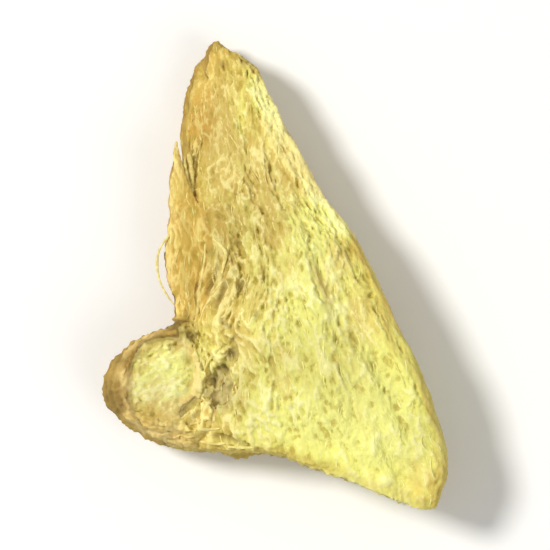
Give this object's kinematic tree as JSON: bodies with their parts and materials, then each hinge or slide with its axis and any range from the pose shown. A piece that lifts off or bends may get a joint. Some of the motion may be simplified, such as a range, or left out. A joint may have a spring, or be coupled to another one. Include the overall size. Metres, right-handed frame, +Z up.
{
  "type": "ginger root",
  "caption": "Cut chip of dried ginger root, a long fibrous wedge with the stub of a side bud and a splinter of bark, lying on a flat cut face.",
  "frame": {"origin": "middle of the footprint, on the flat cut face that the chip rests on", "axes": "+Z up from the resting face, +Y along the fibres towards the narrow tip, +X across them towards the long cut edge"},
  "size_m": [0.0178, 0.0244, 0.0063],
  "materials": {
    "ginger": "matt, fibrous and dry"
  },
  "bodies": {
    "root": {"ginger_root": "ginger"}
  },
  "joints": []
}
